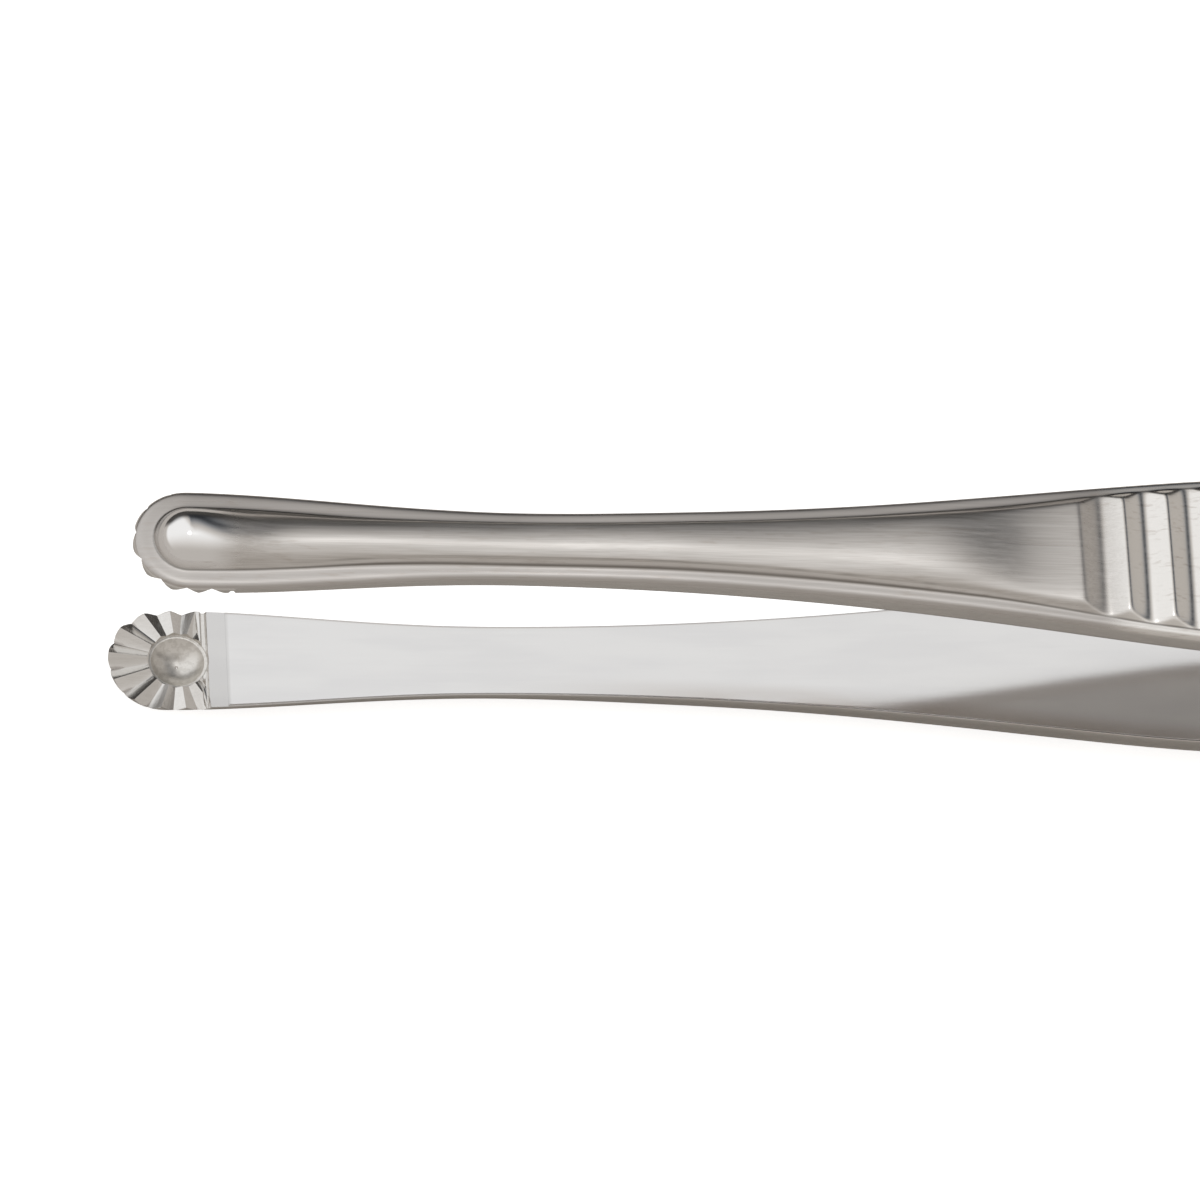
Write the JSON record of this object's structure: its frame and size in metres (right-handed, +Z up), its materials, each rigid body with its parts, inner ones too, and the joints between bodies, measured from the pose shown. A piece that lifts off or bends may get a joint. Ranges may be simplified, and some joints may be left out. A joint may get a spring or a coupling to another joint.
{
  "type": "tissue forceps",
  "caption": "Spring-arm tissue forceps with round cupped jaws, radial teeth, raised ribs and fluted finger grips, brazed at the heel.",
  "frame": {"origin": "on the surface it lies on, under the middle of the forceps", "axes": "+X along the forceps from the jaws to the heel, +Y across the arms, +Z up, the way the jaws open"},
  "size_m": [0.2, 0.0164, 0.0269],
  "materials": {
    "arm_steel": "satin, brushed along the arm, with a polished dome",
    "tail_steel": "satin, brushed along the arm",
    "braze": "ground flush"
  },
  "bodies": {
    "heel": {"upper_spring_tail": "tail_steel", "lower_spring_tail": "tail_steel", "heel_braze": "braze"},
    "upper_arm": {"upper_arm": "arm_steel"},
    "lower_arm": {"lower_arm": "arm_steel"}
  },
  "joints": [
    {"name": "upper_flex", "type": "hinge", "parent": "heel", "child": "upper_arm", "pos_m": [0.07, 0, 0.01586], "axis": [0, -1, 0], "range_deg": [0, 3.45], "stiffness_Nm_per_rad": 8},
    {"name": "lower_flex", "type": "hinge", "parent": "heel", "child": "lower_arm", "pos_m": [0.07, 0, 0.011], "axis": [0, 1, 0], "range_deg": [0, 3.45], "stiffness_Nm_per_rad": 8}
  ]
}
